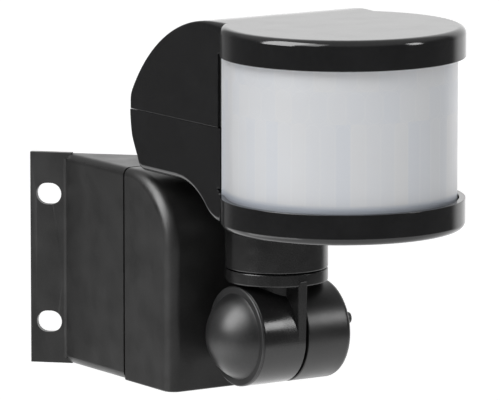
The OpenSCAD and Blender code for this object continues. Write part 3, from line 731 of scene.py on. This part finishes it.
def lower_housing():
    lip, lip_back, lip_top, step_z = CREASE_Y + 0.15, CREASE_Y + 1.5, BAND_TOP + 1.6, BAND_TOP + 0.9
    front = [(lip, SPLIT_Z - SEAM_GAP), (lip, lip_top), (lip_back, lip_top), (lip_back, step_z),
             (CREASE_Y + GROOVE, step_z)]
    shell = head_shell(lower_profile, BAND_BOTTOM, BAND_TOP, -1, lower_fillet, front)
    neck = [(0, NECK_BOTTOM, 0), (NECK_R, NECK_BOTTOM, 0.4), (NECK_R, NECK_TOP, 0.3), (0, NECK_TOP, 0)]
    add(shell, lathe(rounded(neck, 3), steps=128))
    add(shell, housing_posts(lower_profile(0.3), 4.0, BAND_BOTTOM, POST_MEET, WALL / 2))
    add(shell, seam_tongue())
    cut(shell, disc(SPIGOT_R + 0.08, NECK_BOTTOM - 1, NECK_TOP + 1, steps=96))
    cut(shell, *bars(KNOB_HOLE_R, BAND_BOTTOM - 1, BAND_BOTTOM + 4, KNOB_AT, 48))
    for at, seat in ((REAR_SCREW, SHELL_BOTTOM), (FRONT_SCREW, FRONT_SEAT)):
        for place in both(at):
            screw_hole(shell, place, seat - 8, seat + 2.2, seat, POST_MEET + 1)
    made = piece(shell, "lower_housing_shell", "head", GLOSS, ["lower_housing"])
    made.data.materials.append(NECK)
    floor_z = hinge.z + (BAND_BOTTOM - 0.2) * MM
    for polygon in made.data.polygons:
        if polygon.center.z < floor_z:
            polygon.material_index = 1
    return made


RIM_Z = 47.4
CELL_MARGIN = 0.15
LENS_ROWS = [
    # low, high, cell pitch along the sheet, corner radius, shift in cells, arched only at the top
    (80.9, 89.4, 6.3, 2.8, 0.5, False),
    (71.5, 80.9, 5.4, 2.3, 0.5, False),
    (RIM_Z, 71.5, 4.4, 2.0, 0.0, True),
]
LENS_LEVELS = [lens_low.z, BAND_TOP, 47.2, 47.6, 53, 59, 65, 71.3, 71.7, 76, 80.7, 81.1, LENS_TOP, lens_high.z]


def lens():
    """The curved lens sheet: an arc with straight ends that run back to the housing."""
    end = Vector((27.6, lens_high.y))
    far = end + Vector((0, LENS_REACH))
    touch = atan2(far.y, far.x) - acos(LENS_R / far.length)
    count = 120
    outline = [end]
    for k in range(count + 1):
        a = touch - (pi + 2 * touch) * k / count
        outline.append(Vector((LENS_R * cos(a), LENS_R * sin(a) - LENS_REACH)))
    outline.append(Vector((-end.x, end.y)))
    lengths = [0.0]
    for a, b in zip(outline, outline[1:]):
        lengths.append(lengths[-1] + (b - a).length)
    middle = lengths[-1] / 2
    bm = bmesh.new()
    sheet = bm.loops.layers.uv.new("sheet")
    grid = [[bm.verts.new((p.x, p.y, z)) for p in outline] for z in LENS_LEVELS]
    for j in range(len(LENS_LEVELS) - 1):
        for i in range(len(outline) - 1):
            made = bm.faces.new((grid[j][i], grid[j][i + 1], grid[j + 1][i + 1], grid[j + 1][i]))
            for loop, (column, row) in zip(made.loops, ((i, j), (i + 1, j), (i + 1, j + 1), (i, j + 1))):
                loop[sheet].uv = (lengths[column] - middle, LENS_LEVELS[row])
    bmesh.ops.recalc_face_normals(bm, faces=bm.faces)
    centre = Vector((0, -LENS_REACH, 60))
    if sum((f.calc_center_median() - centre).dot(f.normal) for f in bm.faces) < 0:
        bmesh.ops.reverse_faces(bm, faces=bm.faces)
    made = thicken(make("lens", bm), LENS_T)
    milk = milky_lens("milky_lens", LENS_ROWS, RIM_Z)
    return piece(made, "lens_sheet", "head", milk, ["lens"])


# ---- Knuckle ----

def knuckle():
    end = WEB_LEFT + 0.5
    drum = rounded([(0, DRUM_LEFT, 0), (DRUM_R, DRUM_LEFT, 0.4), (DRUM_R, end, 0), (0, end, 0)], 4)
    top_hw, top, corner = NECK_R + 0.2, 17.8, 0.8
    touch = degrees(atan2(top, top_hw) - acos(DRUM_R / sqrt(top_hw ** 2 + top ** 2)))
    outline = arc((0, 0), DRUM_R, 180 - touch, 360 + touch, 110)
    outline += arc((top_hw - corner, top - corner), corner, 0, 90, 5)
    outline += arc((corner - top_hw, top - corner), corner, 90, 180, 5)
    body = round_edges(prism(outline, WEB_LEFT, WEB_RIGHT), 0.35)
    stub = disc(STUB_R, 4, COLLAR_BOTTOM + 0.5, steps=72)
    drum_room = [(-20, 0), (20, 0), (20, COLLAR_BOTTOM), (-20, COLLAR_BOTTOM)]
    cut(stub, prism(drum_room, WEB_RIGHT - 0.3, 20))
    collar = rounded([(0, COLLAR_BOTTOM, 0), (NECK_R, COLLAR_BOTTOM, 0.5), (NECK_R, COLLAR_TOP, 0.35),
                      (SPIGOT_R, COLLAR_TOP, 0), (SPIGOT_R, knuckle_top, 0.4), (0, knuckle_top, 0)], 4)
    add(body, lathe(drum, "X", steps=144), stub, lathe(collar, steps=128))
    cut(body, disc(DRUM_BORE_R, DRUM_LEFT - 2, DRUM_FLOOR, "X", steps=72))
    cut(body, disc(BOLT_BORE_R, -7, 5, "X", steps=48))
    cut(body, disc(SPIGOT_BORE_R, 21, knuckle_top + 1, steps=64))
    cut(body, *bars(LEAD_HOLE_R, 6, 26, [LEAD_AT], 32))
    groove = [(SPIGOT_R + 1, 0), (SPIGOT_R - 1, 0), (SPIGOT_R - 1, 1), (SPIGOT_R + 1, 1)]
    for z, height in ((NECK_TOP + 0.4, 1.5), (26.0, 1.4)):
        cut(body, lathe([(r, z + h * height) for r, h in groove], steps=96))
    return piece(body, "knuckle_body", "knuckle", NECK, ["tilt_knuckle"])


def knuckle_cap():
    dome_h, dome_r = CAP_SEAT - cap_left, 12.6
    ball = (dome_r ** 2 + dome_h ** 2) / (2 * dome_h)
    start = degrees(acos((ball - dome_h) / ball))
    turns = [radians(start * k / 24) for k in range(25)]
    outer = [(ball * sin(a), ball * cos(a) - ball + dome_h) for a in turns]
    inner = [(r * 0.87, h - 1.6) for r, h in reversed(outer)]
    rim = rounded([(dome_r, 0, 0), (dome_r + 0.25, -0.35, 0), (DRUM_R, -0.3, 0.45), (DRUM_R, -1.0, 0.15),
                   (12.3, -1.0, 0), (12.3, -5.0, 0.3), (10.8, -5.0, 0.3)], 4)[1:]
    profile = [(r, CAP_SEAT - h) for r, h in outer + rim + inner]
    return piece(lathe(profile, "X", steps=144), "dome_cap", "knuckle", SOFT, ["knuckle_cap"])


# ---- Base ----

def base_box():
    """The base: a shell with a rounded brow, soft side edges and a square bottom."""
    brow = (BASE_FRONT + BROW_R, BOX_TOP - BROW_R)
    stations = [(BASE_BACK, BOX_TOP, 0, 1), (brow[0], BOX_TOP, 0, 1)]
    stations += bend(brow, BROW_R, 90, 180, 32, 1)
    stations.append((BASE_FRONT, BOX_BOTTOM, -1, 0))
    columns = [edge_ring(BOX_HW, station, BASE_EDGE_R * min(1.0, 0.65 + 0.35 * i / 12))
               for i, station in enumerate(stations)]
    side = [c[0] for c in columns] + [Vector((BOX_HW, BASE_BACK, BOX_BOTTOM))]
    bm = bmesh.new()
    for turned in (list, mirrored):
        skin(bm, [turned(c) for c in columns])
        face(bm, turned(side))
    for a, b in zip(columns, columns[1:]):
        face(bm, [a[-1], b[-1], *mirrored([b[-1], a[-1]])])
    bottom = [side[-1]] + columns[-1]
    face(bm, bottom + mirrored(reversed(bottom)))
    tidy(bm)
    shell = round_edges(thicken(make("base", bm), BASE_WALL), 0.45, 60)
    left, right = BASE_DRUM
    drum = rounded([(0, left, 0), (DRUM_R, left, 0.35), (DRUM_R, right, DRUM_EDGE_R), (0, right, 0)], 8)
    arm_back, arm_top = BASE_FRONT + 1, 11
    plan = [(0, -DRUM_R), (arm_back, -DRUM_R), (arm_back, arm_top), (0, arm_top)]
    arm = round_edges(prism(plan, left, right - DRUM_EDGE_R), 0.5)
    add(shell, lathe(drum, "X", steps=144), arm)
    locks = [(-LOCK_X, LOCK_Y), (LOCK_X, LOCK_Y)]
    add(shell, *bars(4.0, BOX_BOTTOM + 1, BOX_BOTTOM + 4, locks, 32))
    cut(shell, disc(BOLT_BORE_R, left - 1, right + 1, "X", steps=48))
    for place in locks:
        screw_hole(shell, place, BOX_BOTTOM - 1, BOX_BOTTOM + 2.1, BOX_BOTTOM - 1, BOX_BOTTOM + 8)
    return piece(shell, "base_body", "base", SATIN, ["base_box"])


def bracket():
    """The corner bracket: a shallow box, notched behind for the wall, with a slotted flange on each side."""
    r, t = 2.5, PLATE_T
    body = prism(slab(BOX_HW, BOX_BOTTOM, BOX_TOP, r, 8), SEAM_Y, FOLD_Y + t, "Y")
    inner = slab(BOX_HW - t, BOX_BOTTOM + t, BOX_TOP - t, 1, 5)
    cut(body, prism(inner, SEAM_Y + t, FOLD_Y + 20, "Y"))
    wedge = [(0, CORNER_Y), (60, CORNER_Y + 60), (-60, CORNER_Y + 60)]
    cut(body, prism(wedge, BOX_BOTTOM - 5, BOX_TOP + 5, "Z"))
    middle = (bracket_low.z + bracket_high.z) / 2
    slope = Vector((1, 1)) / sqrt(2)
    inward = Vector((-1, 1)) / sqrt(2)
    fold = Vector((BOX_HW, FOLD_Y))
    tip = fold + slope * FLANGE_W
    plan = [tuple(p) for p in (fold - slope * t, tip, tip + inward * t, fold + (inward - slope) * t)]
    slot_at = fold + slope * SLOT_FROM_FOLD
    fold_reach = FOLD_R * tan(radians(22.5))
    fillet = [tuple(fold - slope * 0.3)]
    fillet += arc(fold + Vector((FOLD_R, -fold_reach)), FOLD_R, 180, 135, 6)
    for side in (1, -1):
        flange = prism([(side * x, y) for x, y in plan], bracket_low.z, bracket_high.z, "Z")
        turn = Matrix.Rotation(radians(45 * side), 4, "Z")
        for z in (-SLOT_Z, SLOT_Z):
            bar = prism(slab(3.9, -3.3, 3.3, 3.29, 8), -6, 6, "Y")
            bar.data.transform(Matrix.Translation((side * slot_at.x, slot_at.y, middle + z)) @ turn)
            cut(flange, bar)
        corner = [(side * x, y) for x, y in fillet]
        add(body, flange, prism(corner, BOX_BOTTOM + r * 0.6, BOX_TOP - r * 0.6, "Z"))
    for z, hole_r in ((-23, 2.2), (0, 6.8), (23, 2.2)):
        cut(body, disc(hole_r, SEAM_Y - 1, SEAM_Y + t + 1, "Y", (0, 0, middle + z), 48))
    return piece(body, "bracket_body", "base", SATIN, ["corner_bracket"], 0.3)


def wing_nut():
    """The nut at the right end of the hinge bolt: a hub with a sunk end and two lugs."""
    left = nut_low.x
    rim, seat, bore_r, hub_r, sink_r = left + 3.4, left + 2.6, 3.05, 5.0, 4.2
    profile = rounded([(bore_r, left, 0), (hub_r, left, 0.4), (hub_r, rim, 0.3), (sink_r, rim, 0.2),
                       (sink_r, seat, 0), (bore_r, seat, 0)], 4)
    hub = lathe(profile, "X", steps=64)
    lugs = prism(slab(8.3, -1.7, 1.7, 1.69, 8), left, nut_high.x)
    cut(lugs, disc(sink_r, left - 1, nut_high.x + 1, "X", steps=48))
    add(hub, lugs)
    hub.data.transform(Matrix.Rotation(radians(-27), 4, "X"))
    return piece(hub, "wing_nut_body", "base", SOFT, ["wing_nut"], 0.3)


# ---- CAD nodes that keep their shape ----

KEPT = {
    GREY: ["base_plate"],
    RUBBER: ["base_gasket", "cable_grommet", "neck_seal"],
    ZINC: ["mounting_screws", "mounting_nuts", "locking_screws", "terminal_screws", "board_screws",
           "housing_screws", "hinge_bolt", "hinge_washer", "retaining_clip"],
    IVORY: ["terminal_block", "thrust_washer"],
    CABLE: ["base_lead", "knuckle_lead", "head_lead"],
    SOFT: ["lens_frame", "sensor_carrier", "time_knob", "lux_knob", "range_knob"],
    BOARD: ["sensor_board", "control_board", "power_board"],
    CAN: ["pir_sensor_left", "pir_sensor_centre", "pir_sensor_right"],
    RED: ["status_led"],
    BLUE: ["trim_pots", "relay"],
    AMBER: ["film_capacitor"],
    SLEEVE: ["smoothing_capacitor"],
}


def dress_kept_nodes():
    """Materials and small edge rounds for the CAD nodes that stay. Their meshes aren't changed."""
    for material, names in KEPT.items():
        for name in names:
            node = frame["nodes"][name]
            node.data.materials.clear()
            node.data.materials.append(material)
            weld = node.modifiers.new("weld", "WELD")
            weld.merge_threshold = 2e-6
            bevel(node, 0.15 * MM, 40, 2).miter_outer = "MITER_ARC"
            even_shading(node)


# ---- Stage ----

def camera():
    data = bpy.data.cameras.new("camera")
    data.lens = 439.9
    data.sensor_width = 36
    data.clip_start, data.clip_end = 0.01, 100
    made = bpy.data.objects.new("camera", data)
    bpy.context.scene.collection.objects.link(made)
    made.location = hinge + Vector((-0.9874, -1.4971, 0.3256))
    aim = hinge + Vector((-0.0028, 0.0101, 0.03865))
    made.rotation_euler = (aim - made.location).to_track_quat("-Z", "Y").to_euler()
    bpy.context.scene.camera = made


def face_the_part(obj, azimuth, elevation, distance):
    """Puts a lamp or panel at a distance from the part's middle, facing it. Azimuth 0 is in front and grows
    to the object's right."""
    a, e = radians(azimuth), radians(elevation)
    way = Vector((sin(a) * cos(e), -cos(a) * cos(e), sin(e)))
    obj.location = (cad_box[0] + cad_box[1]) / 2 + way * distance
    obj.rotation_euler = (-way).to_track_quat("-Z", "Y").to_euler()
    obj.visible_camera = False


def softbox(name, azimuth, elevation, distance, size, power):
    data = bpy.data.lights.new(name, "AREA")
    data.shape = "RECTANGLE"
    data.size, data.size_y = size
    data.energy = power
    made = bpy.data.objects.new(name, data)
    bpy.context.scene.collection.objects.link(made)
    face_the_part(made, azimuth, elevation, distance)


def card(name, azimuth, elevation, distance, size, strength):
    """A glowing panel that only reflections see, like a photographer's reflector."""
    bm = bmesh.new()
    w, h = size[0] / 2, size[1] / 2
    face(bm, [(-w, -h, 0), (w, -h, 0), (w, h, 0), (-w, h, 0)])
    panel = make(name, bm)
    n = Nodes(name)
    glow = n.node("Emission")
    glow.inputs["Strength"].default_value = strength
    n.put(n.tree.nodes["Material Output"].inputs["Surface"], glow.outputs[0])
    panel.data.materials.append(n.material)
    face_the_part(panel, azimuth, elevation, distance)
    panel.visible_diffuse = panel.visible_shadow = panel.visible_transmission = False


def sky():
    """A studio dome: bright behind the object and dim in front, and plain white to the camera itself."""
    world = bpy.data.worlds.new("studio")
    bpy.context.scene.world = world
    world.use_nodes = True
    tree = world.node_tree
    new, link = tree.nodes.new, tree.links.new
    split = new("ShaderNodeSeparateXYZ")
    link(new("ShaderNodeTexCoord").outputs["Generated"], split.inputs[0])

    def math(operation, a, b):
        made = new("ShaderNodeMath")
        made.operation = operation
        for socket, value in zip(made.inputs, (a, b)):
            if hasattr(value, "is_output"):
                link(value, socket)
            else:
                socket.default_value = value
        return made.outputs[0]

    def span(value, low, high, to_low, to_high):
        made = new("ShaderNodeMapRange")
        made.interpolation_type = "SMOOTHSTEP"
        link(value, made.inputs[0])
        for socket, number in zip(made.inputs[1:], (low, high, to_low, to_high)):
            socket.default_value = number
        return made.outputs[0]

    def along(way):
        x, y = (math("MULTIPLY", split.outputs[i], way[i]) for i in (0, 1))
        return math("ADD", x, y)

    toward = along((-0.556, -0.831))
    aside = along((0.831, -0.556))
    behind = math("MULTIPLY", span(toward, -0.52, -0.76, 0.0, 1.0), span(aside, -0.42, -0.12, 0.12, 1.0))
    below = span(split.outputs[2], -0.2, -0.36, 0.0, 1.3)
    above = span(split.outputs[2], 0.25, 0.8, 0.0, 0.5)
    light = math("ADD", math("MAXIMUM", math("MAXIMUM", behind, below), above), 0.17)
    background = tree.nodes["Background"]
    direct = new("ShaderNodeLightPath").outputs["Is Camera Ray"]
    link(math("MAXIMUM", light, direct), background.inputs["Strength"])
    background.inputs["Color"].default_value = (1, 1, 1, 1)


def floor():
    """A pale floor well below the part, which only the camera and diffuse light see."""
    bm = bmesh.new()
    half, z = 12.0, cad_box[0].z - 1.2
    face(bm, [(-half, -half, z), (half, -half, z), (half, half, z), (-half, half, z)])
    plane = make("floor", bm)
    n = Nodes("floor")
    n.shader.inputs["Base Color"].default_value = (0.9, 0.9, 0.9, 1)
    n.shader.inputs["Roughness"].default_value = 0.9
    n.shader.inputs["Emission Color"].default_value = (1, 1, 1, 1)
    n.shader.inputs["Emission Strength"].default_value = 0.5
    plane.data.materials.append(n.material)
    plane.visible_glossy = False


camera()
upper_housing()
lower_housing()
lens()
knuckle()
knuckle_cap()
base_box()
bracket()
wing_nut()
dress_kept_nodes()
floor()
sky()
card("left_card", -97, 38, 1.4, (0.85, 1.3), 10)
card("right_card", 38, 23, 1.4, (0.3, 0.5), 10)
card("low_left_card", -105, -28, 1.4, (1.5, 0.5), 3.0)
softbox("left_softbox", -72, 42, 1.6, (0.8, 0.8), 9)
bpy.context.scene.view_settings.view_transform = "Standard"
